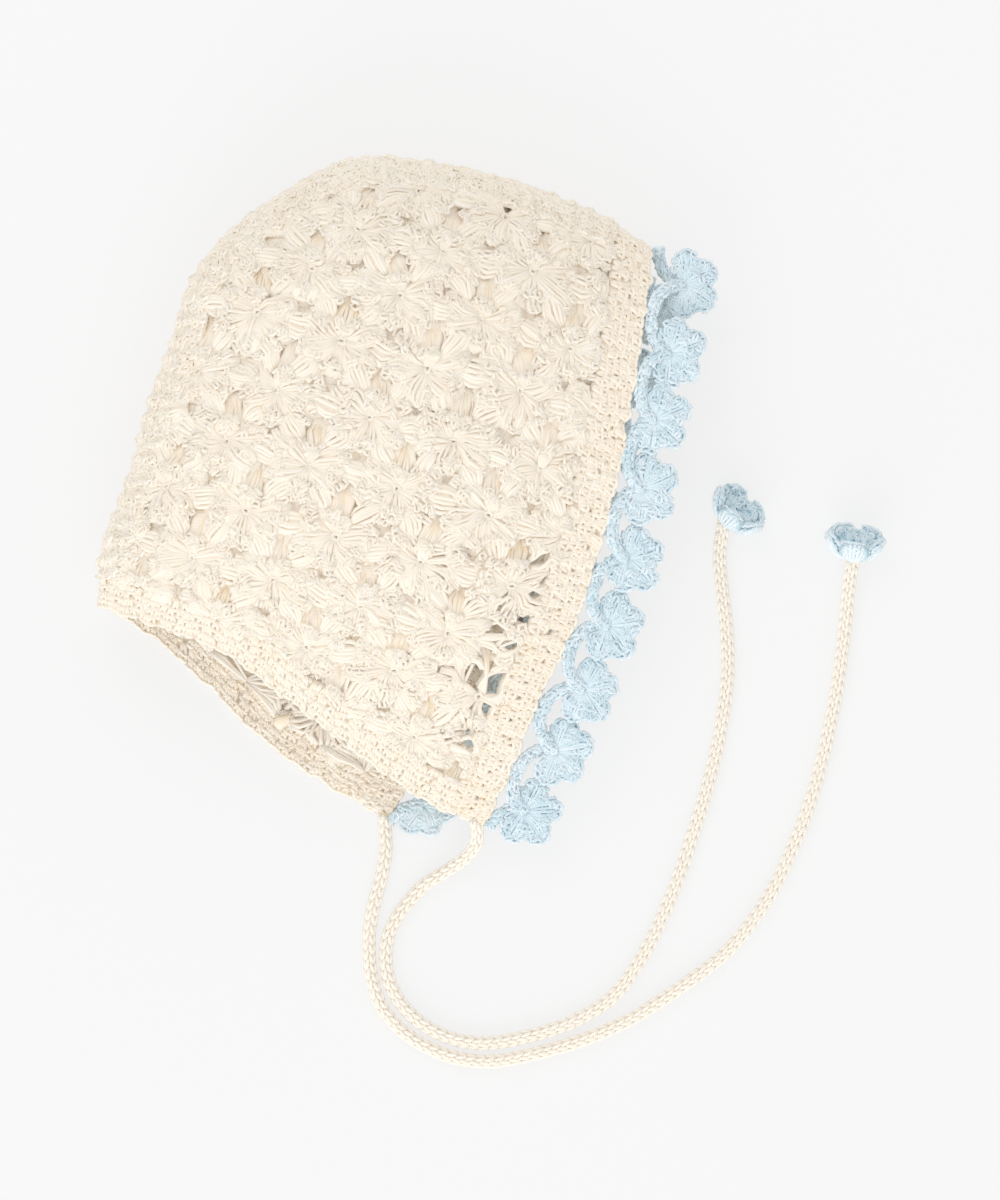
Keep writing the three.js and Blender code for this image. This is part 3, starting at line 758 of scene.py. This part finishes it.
# The puffs of one piece of the fabric; most lists below have one entry for each petal
class Puffs:
    def __init__(self, side, crown):
        self.yarn = Yarn()
        self.side = side
        self.gaps = OPENINGS if side == "upper" else []
        starts, tips, kinds = petals_of(FLOWERS)
        middles = (starts + 2 * tips) / 3
        margin = 0.02 if side == "upper" else 0.01
        keep = SIDES[side].holds(middles, margin, 0.006) & ((starts[:, 1] > CROWN_FROM) == crown)
        self.starts = starts[keep]
        self.tips = tips[keep]
        self.kinds = kinds[keep]
        self.apart = ~clear_of(self.gaps, middles[keep], 0.011)
        self.count = n = len(self.starts)
        self.hidden = self.kinds == 1
        self.beside = np.isin(self.kinds, (3, 5))
        usual = random.uniform(0.0012, 0.0026, n)
        room = np.select([self.hidden, self.beside], [-0.0026, 0.0036], usual)
        self.length = np.linalg.norm(self.tips - self.starts, axis=1) - room
        x, y = unit(self.tips - self.starts).T
        turn = chance(0.07, n)
        c, s = np.cos(turn), np.sin(turn)
        self.axis = np.stack([x * c - y * s, x * s + y * c], -1)
        self.aside = left_of(self.axis)
        self.half = np.where(self.hidden, 0.005, 0.0067) + chance(0.0004, n)
        self.plump = random.uniform(0.75, 1.1, (n, 1, 1))
        self.sink = np.where(self.hidden, -0.0024, 0.0) + chance(0.00025, n)

    # Lays strands on the side, from their roots by the given ways along and across
    def strands(self, roots, along, across, reach, lateral, off, clear=YARN_RADIUS):
        fabric = (
            roots[:, None, None]
            + along[:, None, None] * reach[..., None]
            + across[:, None, None] * lateral[..., None]
        )
        fabric = SIDES[self.side].tuck(part_round(fabric, self.gaps, clear))
        return lay(self.side, fabric, off)

    # Strands of the petals; q runs from edge to edge, and t from the centre to the tip
    def petal_lines(self, q, t, off, wide=1.0, longer=0.0, clear=YARN_RADIUS):
        q = q[:, :, None]
        width = np.interp(t, PETAL_T, PETAL_WIDTH)
        off = off + self.sink[:, None, None] * np.interp(t, [0, 0.45, 0.75, 1], [0, 0.1, 1, 1.2])
        reach = t * (self.length[:, None, None] + longer) * (1 - 0.07 * q**2)
        stray = chance(0.0004, q.shape) * np.sin(math.pi * t)
        stray = stray + chance(0.00022, q.shape) * np.sin(TURN * t)
        lateral = q * width * self.half[:, None, None] * wide + stray
        return self.strands(self.starts, self.axis, self.aside, reach, lateral, off, clear)

    # The hidden petals get painted shade, a darker tone, where they pass under their neighbours
    def painted_shade_end(self, t):
        return np.where(self.hidden, -1.0, 0.0)[:, None] * np.interp(t, [0.42, 0.68], [0, 1])

    def outer_loops(self, number, points):
        t = np.linspace(0.03, 1, points)
        rise = np.interp(t, PETAL_T, PETAL_DOME)
        q = np.linspace(-1, 1, number) + chance(0.05, (self.count, number))
        off = -LOOPS_DEPTH + 0.0022 * self.plump * rise * swelling(q)
        off = off + chance(0.0002, (self.count, number, 1))
        off = off + chance(0.00012, off.shape)
        lines, normal = self.petal_lines(q, t, off)
        thick = random.uniform(0.86, 1.14, (self.count, number, 1))
        strand = YARN_RADIUS * 9.9 / number
        # The hidden petals' loops carry painted shade towards their ends
        tone = np.repeat(self.painted_shade_end(t), number, 0)
        self.yarn.add(lines, normal, strand * thick * (0.72 + 0.34 * rise), 4, tone=tone)

    # The gathered yarn below the loops, in one body, or in strands beside an open place
    def core(self):
        whole = ~self.apart
        t = np.linspace(0.04, 0.97, 5)
        rise = np.interp(t, PETAL_T, PETAL_DOME)
        width = np.interp(t, PETAL_T, PETAL_WIDTH)
        off = np.broadcast_to(-CORE_DEPTH + 0.0012 * self.plump * rise, (self.count, 1, 5))
        lines, normal = self.petal_lines(np.zeros((self.count, 1)), t, off)
        wide = (0.98 * self.half[:, None, None] * width)[whole]
        # The hidden petals' core carries painted shade towards its end
        tone = (0.2 + self.painted_shade_end(t))[whole]
        self.yarn.add(lines[whole], normal[whole], wide, 8, 0.19, tone)
        q = np.linspace(-0.9, 0.9, 6) + chance(0.03, (self.count, 6))
        off = -APART_DEPTH + 0.0021 * self.plump * rise * swelling(q)
        lines, normal = self.petal_lines(q, t, off)
        radius = 0.0009 * (0.8 + 0.5 * rise)
        self.yarn.add(lines[self.apart], normal[self.apart], radius, 4, 0.7)

    # The lining, which closes the gaps between the puffs, and the loops on the inside
    def lining(self, number):
        whole = ~self.apart
        t = np.linspace(0.02, 1, 4)
        off = -LINING_DEPTH - self.sink[:, None, None] + np.zeros((self.count, 1, 4))
        lines, normal = self.petal_lines(np.zeros((self.count, 1)), t, off, longer=0.0022)
        wide = np.interp(t, [0, 0.35, 0.7, 1], [0.3, 0.8, 1.0, 0.8])
        wide = 1.16 * self.half[:, None, None] * wide
        beside_seam = np.clip(SIDES[self.side].room(lines[..., :2]), 0.0008, 1)
        wide = np.minimum(wide, beside_seam)[whole]
        self.yarn.add(lines[whole], normal[whole], wide, 8, 0.09, tone=-0.2)
        q = np.linspace(-1, 1, number) + chance(0.03, (self.count, number))
        off = -INSIDE_DEPTH - 0.0006 * np.sin(math.pi * t) * swelling(q) - self.sink[:, None, None]
        lines, normal = self.petal_lines(q, t, off, 1.14, 0.002, 0.0012)
        self.yarn.add(lines, -normal, 0.0066 / number * (0.6 + 0.6 * t), 4, 0.7, 0.5)

    # The small stitches over what shows of each puff
    def tufts(self, number):
        each = np.repeat(np.arange(self.count), number)
        across = random.uniform(-1, 1, len(each))
        t = random.uniform(0.46, 1.0, len(each))
        t = np.where(self.beside[each], t, 0.9 * t + 0.04)
        t = np.where(self.hidden[each], 0.5 * t, t)
        across = across * self.half[each] * np.interp(t, PETAL_T, PETAL_WIDTH) * 1.05
        axis = self.axis[each]
        spot = self.starts[each] + axis * (self.length[each] * t)[:, None]
        spot = spot + self.aside[each] * across[:, None]
        spot = SIDES[self.side].tuck(spot)
        heading = np.arctan2(axis[:, 1], axis[:, 0]) + chance(1.1, len(each))
        fall = 0.0014 * (across / 0.0062) ** 2 + 0.001 * np.clip((t - 0.7) / 0.3, 0, 1)
        closed = clear_of(self.gaps, spot, 0.0022)
        x, y = spot[closed].T

        def place(x, y, off):
            return lay(self.side, np.stack([x, y], -1), off)

        level = (-0.0002 - fall)[closed]
        small_loops(self.yarn, place, x, y, level, heading[closed], radius=0.0009, points=4)

    # A pinched ring at each flower's centre
    def rings(self):
        centres = np.unique(self.starts.round(5), axis=0)
        centres = centres[SIDES[self.side].holds(centres, 0.018, -0.001)]
        angle = np.linspace(0, TURN, 9)
        r = 0.0015 * (1 + chance(0.14, (len(centres), 9)))
        r[:, -1] = r[:, 0]
        fabric = centres[:, None] + r[..., None] * np.stack([np.cos(angle), np.sin(angle)], -1)
        level = -0.0014 + chance(0.0002, r.shape)
        self.yarn.add(*lay(self.side, fabric, level), YARN_RADIUS * 0.8)

    # Shorter puffs across the gaps between flowers that lie side by side
    def short_puffs(self, number):
        starts, tips, kinds = self.starts, self.tips, self.kinds
        mate = np.roll(np.arange(self.count), -1)
        pairs = (kinds < 3) & (kinds[mate] == kinds + 1) & (starts[mate] == starts).all(1)
        level = kinds[pairs] == 2
        heart = (tips[pairs] + tips[mate[pairs]]) / 2
        m = len(heart)
        out = unit(heart - starts[pairs] + chance(0.0022, (m, 2)))
        edge = left_of(out)
        heart = heart + chance(0.0005, (m, 2)) + (0, 0.0006)
        t = np.linspace(-1, 1, 5)
        q = (np.linspace(-1, 1, number) + chance(0.07, (m, number)))[:, :, None]
        half = np.where(level, 0.0052, 0.0044)[:, None, None]
        lateral = half * q * (1 - 0.5 * t**2)
        reach = random.uniform(0.0066, 0.008, (m, 1, 1)) * t * (1 - 0.1 * q**2)
        off = -0.0021 + 0.0017 * (1 - t**2) * swelling(q[:, :, 0])
        off = off + chance(0.0002, (m, number, 1))
        radius = YARN_RADIUS * 7.6 / number * (1.1 - 0.25 * t**2)
        self.yarn.add(*self.strands(heart, out, edge, reach, lateral, off), radius)
        clear = clear_of(self.gaps, heart, 0.009)
        fabric = SIDES[self.side].tuck(heart[:, None] + out[:, None] * (0.0072 * t)[:, None])
        lines, normal = lay(self.side, fabric, -0.0029 + 0.001 * (1 - t**2) + np.zeros((m, 1)))
        wide = half[:, 0] * (1 - 0.5 * t**2)
        self.yarn.add(lines[clear], normal[clear], wide[clear], 8, 0.2, 0.3)


# Single crochet: rows of small stitches on a strip; place takes the distances along and across,
# and holes are the half rows whose backing is mostly left out
def stitches(yarn, place, length, rows, row_height, holes):
    count = round(length / STITCH_PITCH)
    pitch = length / count
    loose = 1.5
    k = np.linspace(0, 1, 5)
    for row in range(rows):
        base = row * row_height
        middle = (np.arange(count) + 0.25 + 0.5 * (row % 2)) * pitch
        middle = middle + chance(0.0003 * loose, count)
        lean = chance(0.0004 * loose, (count, 1))
        lift = chance(0.00018 * loose, (count, 1))
        tall = row_height * (1 + chance(0.06 * loose, (count, 1)))
        for leg in (-1, 1):
            along = middle[:, None] + leg * pitch * (0.07 + 0.25 * k) + lean * k
            across = base + tall * (-0.18 + 1.1 * k) + chance(0.0001, along.shape)
            off = -0.0021 + 0.0012 * np.sin(math.pi * (0.15 + 0.8 * k)) + lift
            thick = random.uniform(0.9, 1.1, (count, 1))
            yarn.add(*place(along, across, off), YARN_RADIUS * 1.28 * thick, 4, tone=-0.3)
        along = middle[:, None] + pitch * (k - 0.5) * 1.3 + lean
        across = base + tall * (0.78 + 0.26 * np.sin(math.pi * k))
        off = -0.0015 + 0.0007 * np.sin(math.pi * k) + lift
        yarn.add(*place(along, across, off), YARN_RADIUS * 1.16, 4, tone=-0.3)
    each = 3 * pitch
    k = np.linspace(-0.54, 0.54, 4)
    for line in range(2 * rows):
        middle = (np.arange(math.ceil(length / each)) + 0.5) * each
        if line in holes:
            middle = middle[random.uniform(0, 1, len(middle)) < 0.35]
        along = np.clip(middle[:, None] + each * k, 0, length)
        across = (line + 0.2) * row_height / 2 + chance(0.0002, along.shape)
        yarn.add(*place(along, across, -0.0023), 0.0018, 4, 0.5, tone=-0.3)


# The strip between an outer and an inner line of one side, with even stitches in space
def strip(side, outer, inner, width):
    u = np.linspace(0, 1, 200)
    a, _ = surface(side, outer.at(u * outer.length))
    spaced = np.concatenate([[0], np.cumsum(np.linalg.norm(np.diff(a, axis=0), axis=1))])

    def place(along, across, off):
        share = np.interp(along, spaced, u)
        p = outer.at(share * outer.length)
        q = inner.at(share * inner.length)
        plan = p + (q - p) * (across / width)[..., None]
        position, normal = surface(side, plan)
        return position + normal * off[..., None], normal

    return place, spaced[-1]


def band(name, node, width, rows, holes, lines_of):
    yarn = Yarn()
    for side in ("upper", "lower"):
        outer, inner = lines_of(SIDES[side])
        place, length = strip(side, outer, inner, width)

        # On the lower side the stitches face inwards, where they show
        def inwards(along, across, off, place=place, side=side):
            if side == "lower":
                off = -INNER_FACE - off
            flat = np.stack([along, across], -1)
            return place(
                along + 0.0004 * uneven(flat, 0.011),
                width - across + 0.0004 * uneven(flat, 0.017, 0.4),
                off + 0.0002 * uneven(flat, 0.008, 0.6),
            )

        stitches(yarn, inwards, length, rows, width / rows, holes)
    return yarn.piece(name, "cream_cotton", [node])


band("face_band", "front_band", FRONT_BAND, 5, (5, 7), lambda side: (side.front, side.front_seam))
band("nape_band", "neck_band", NECK_BAND, 4, (), lambda side: (side.neck_edge, side.neck_seam))

for name, side, crown in (
    ("near_crown_puffs", "upper", True),
    ("near_nape_puffs", "upper", False),
    ("far_crown_puffs", "lower", True),
    ("far_nape_puffs", "lower", False),
):
    counts = STRANDS[side]
    puffs = Puffs(side, crown)
    puffs.outer_loops(counts["outer"], counts["points"])
    puffs.core()
    puffs.lining(counts["inside"])
    puffs.tufts(counts["tufts"])
    puffs.rings()
    puffs.short_puffs(counts["short"])
    puffs.yarn.piece(name, "cream_cotton", ["crown_body"])


# The dense rows round the fold
def fold_place(along, across, off):
    foot = fold.at(along + NECK_BAND)
    inward = -left_of(fold.way(along + NECK_BAND))
    position = np.empty(foot.shape[:-1] + (3,))
    normal = np.empty_like(position)
    for side, mine in (("upper", across >= 0), ("lower", across < 0)):
        arc, plan_distance = ROLLING[side]
        d = np.interp(np.abs(across), arc, plan_distance)
        p, n = surface(side, foot + inward * d[..., None])
        mine = mine[..., None]
        position = np.where(mine, p, position)
        normal = np.where(mine, n, normal)
    return position + normal * off[..., None], normal


def fold_rows():
    yarn = Yarn()
    length = fold.length - NECK_BAND - FRONT_BAND
    lowest, highest = -0.016, 0.027

    def place(along, across, off):
        flat = np.stack([along, across], -1)
        along = np.clip(along, 0, length) + 0.0006 * uneven(flat, 0.021)
        across = across + 0.0009 * uneven(flat, 0.026, 0.3)
        off = off + 0.0004 + 0.0006 * uneven(flat, 0.01, 0.7)
        return fold_place(along, across, off)

    each = 0.012
    k = np.linspace(-0.54, 0.54, 5)
    middle = (np.arange(math.ceil(length / each)) + 0.5) * each
    for row in np.arange(lowest, highest, 0.0026):
        along = middle[:, None] + each * k
        across = row + chance(0.0003, along.shape)
        yarn.add(*place(along, across, -0.0016), 0.0021, 6, 0.5, -0.1)
    for row in np.arange(lowest, highest, 0.0027):
        spots = np.arange(0.0006, length, 0.0021 if row > -0.004 else 0.003)
        spots = spots + chance(0.0006, len(spots))
        across = row + chance(0.0006, len(spots))
        heading = math.pi / 2 + chance(0.55, len(spots))
        small_loops(yarn, place, spots, across, -0.0009, heading, radius=0.0009)
    return yarn.piece("fold_rows", "cream_cotton", ["crown_body"])


fold_rows()


# Trim: flowers held to the face edge by arches of chain
def lower_trim():
    front = SIDES["lower"].front
    u = (1 - LOWER_TRIM_START / front.length) * (1 - (np.arange(TRIM_COUNT) + 0.5) / TRIM_COUNT)
    p = front.at(u * front.length)
    return p - left_of(front.way(u * front.length)) * LOWER_TRIM_REACH


def trim_feet(side, middles):
    front = SIDES[side].front
    ends = [1.5 * middles[0] - 0.5 * middles[1], 1.5 * middles[-1] - 0.5 * middles[-2]]
    between = (middles[1:] + middles[:-1]) / 2
    wanted = np.vstack([ends[:1], between, ends[1:]])
    s = np.linspace(0, front.length, 401)
    samples = front.at(s)
    nearest = np.linalg.norm(samples - wanted[:, None], axis=2).argmin(1)
    p = samples[nearest]
    position, _ = surface(side, p)
    height = position[:, 2]
    middle = height - BAND_WALL / 2 if side == "upper" else np.maximum(height, 0) + CHAIN_RADIUS
    plan = p - left_of(front.way(s[nearest])) * (CHAIN_RADIUS + PIECE_GAP)
    return np.concatenate([plan, middle[:, None]], 1)


# One petal of the trim: a fan of strands that ends in a round rim of small loops
def trim_petal(yarn, place, middle, reach, half, dense):
    c, s = math.cos(middle), math.sin(middle)

    def petal(x, y, off):
        return place(x * c - y * s, x * s + y * c, off)

    t = np.linspace(0.05, 1, 5)
    width = np.interp(t, [0, 0.2, 0.45, 0.68, 0.85, 1], [0.1, 0.36, 0.78, 1.0, 0.92, 0.62])
    q = np.linspace(-1, 1, 8)[:, None] + chance(0.04, (8, 1))
    x = (reach - 0.0018) * t * (1 - 0.1 * q**2)
    y = (half - 0.0012) * width * q
    off = 0.0003 + 0.0012 * np.sin(math.pi * (0.1 + 0.8 * t)) * (1 - 0.6 * q**2)
    off = off + chance(0.0002, off.shape)
    yarn.add(*petal(x, y, off), YARN_RADIUS * (0.7 + 0.3 * t))
    body = x[3:4], 0 * x[3:4], np.full((1, 5), -0.0004)
    yarn.add(*petal(*body), half * 0.86 * width, 8, 0.22, -0.2)
    rows = ((0.5, 0.3, 2), (0.5, 0.62, 4), (0.56, 0.98, 9))[3 - dense :]
    for share, wide, number in rows:
        phi = np.linspace(-1.9, 1.9, number) + chance(0.1, number)
        x = reach - half + half * (wide * np.cos(phi)) - 0.0012
        y = (half - 0.001) * wide * np.sin(phi)
        height = 0.0016 - 0.001 * wide + chance(0.0002, number)
        turn = phi + chance(0.5, number)
        if wide > 0.9:
            turn = phi + math.pi / 2 + chance(0.35, number)
            small_loops(yarn, petal, x, y, height - 0.0017, turn + 0.4)
        small_loops(yarn, petal, x, y, height, turn)


# An arch of the trim: small loops worked all round a core
def chain(yarn, points, dense):
    line = Line(points)
    s = np.linspace(0, line.length, 8)
    core = line.at(s)
    yarn.add(core[None], np.array([0, 0, 1.0]), 0.0018, 6, 0.85)
    number = int(line.length / 0.0026)
    for turn in np.linspace(-2.6, 2.6, dense):
        at = (np.arange(number) + 0.5 + random.uniform(-0.3, 0.3, number)) * line.length / number

        def place(x, y, off, turn=turn):
            centre, across, up = cross_section(line, np.clip(x, 0, line.length))
            angle = math.pi / 2 + turn + y / 0.0019
            out = np.cos(angle)[..., None] * across + 0.85 * np.sin(angle)[..., None] * up
            return centre + (0.0017 + off)[..., None] * out, out

        heading = random.choice([0, math.pi], number) + chance(0.6, number)
        small_loops(yarn, place, at, chance(0.0003, number), 0.0001, heading)


def trim(side, middles, name, nodes):
    feet = trim_feet(side, middles)
    yarn = Yarn()
    droop, dense, size, nearer = TRIM_FORM[side]
    for i, middle in enumerate(middles):
        height = (feet[i, 2] + feet[i + 1, 2]) / 2 - TRIM_RADIUS * math.sin(droop)
        along = feet[i] - feet[i + 1]
        along = unit(along * (1, 1, 0))
        out = np.array([along[1], -along[0], 0])
        centre = np.array([*middle, max(height, 0.0024)]) - out * nearer
        tilted = out * math.cos(droop) - np.array([0, 0, math.sin(droop)])
        up = np.cross(tilted, along)

        def place(x, y, off):
            spot = x[..., None] * tilted + y[..., None] * along
            return centre + spot + up * off[..., None], up

        for angle, reach in ((0.56, 0.017), (-0.56, 0.017), (1.54, 0.0158), (-1.54, 0.0158)):
            angle = angle + chance(0.05)
            reach = reach + chance(0.0004)
            trim_petal(yarn, place, angle, size * reach, size * TRIM_PETAL_HALF, dense)
        for foot in (feet[i], feet[i + 1]):
            reach = foot - centre
            back = out * reach.dot(out)
            aside = along * reach.dot(along)
            quarter = np.radians([0, 18, 36, 54, 72, 90])[:, None]
            arch = centre + back * np.sin(quarter) + aside * (1 - np.cos(quarter))
            arch[:, 2] = centre[2] + reach[2] * np.sin(quarter[:, 0])
            chain(yarn, arch, 3 + dense)
    return yarn.piece(name, "blue_cotton", nodes)


for side, middles, name in (
    ("upper", np.array(UPPER_TRIM), "near_trim"),
    ("lower", lower_trim(), "far_trim"),
):
    trim(side, middles, name, [f"{name}_flower_{i + 1}" for i in range(TRIM_COUNT)])


# Floor and light
def floor():
    mesh = bpy.data.meshes.new("floor")
    r = 40.0
    mesh.from_pydata([(-r, -r, 0), (r, -r, 0), (r, r, 0), (-r, r, 0)], [], [(0, 1, 2, 3)])
    material = bpy.data.materials.new("pale_floor")
    material.use_nodes = True
    shader = material.node_tree.nodes["Principled BSDF"]
    tree = material.node_tree
    shader.inputs["Base Color"].default_value = (0.25, 0.25, 0.25, 1)
    shader.inputs["Emission Color"].default_value = (1, 1, 1, 1)
    place = add_node(tree, "NewGeometry")
    parts = add_node(tree, "SeparateXYZ", {0: place.outputs["Position"]})
    # The floor glows all round, but not in an oval under the bonnet: that dark oval is a painted
    # shadow, so the floor does not shine through the bonnet
    squares = []
    for axis, middle, half in ((0, 0.015, 0.095), (1, -0.01, 0.12)):
        offset = maths(tree, "SUBTRACT", parts.outputs[axis], middle)
        share = maths(tree, "DIVIDE", offset, half)
        squares.append(maths(tree, "POWER", share, 2.0))
    away = maths(tree, "ADD", *squares)
    glow = add_node(
        tree,
        "MapRange",
        {"Value": away, "From Min": 0.7, "From Max": 1.02, "To Max": 0.63},
        interpolation_type="SMOOTHSTEP",
    )
    tree.links.new(glow.outputs[0], shader.inputs["Emission Strength"])
    shader.inputs["Roughness"].default_value = 1.0
    shader.inputs["Specular IOR Level"].default_value = 0.0
    mesh.materials.append(material)
    add_object("floor", mesh)


def lamp(name, location, size, energy):
    data = bpy.data.lights.new(name, "AREA")
    data.size = size
    data.energy = energy
    light = add_object(name, data)
    light.location = location
    aim = Vector((0.05, -0.03, 0.03)) - Vector(location)
    light.rotation_euler = aim.to_track_quat("-Z", "Y").to_euler()
    light.visible_camera = False


floor()
lamp("key", (-0.9, 0.9, 1.6), 1.2, 7)
lamp("fill", (0.2, -3.4, 1.7), 3.4, 84)
world = bpy.data.worlds.new("studio")
world.use_nodes = True
background = world.node_tree.nodes["Background"]
background.inputs["Color"].default_value = (1.0, 1.0, 1.0, 1)
background.inputs["Strength"].default_value = 0.8
bpy.context.scene.world = world
bpy.context.scene.view_settings.view_transform = "Standard"
bpy.context.scene.view_settings.gamma = 1.5
bpy.context.scene.cycles.diffuse_bounces = 8
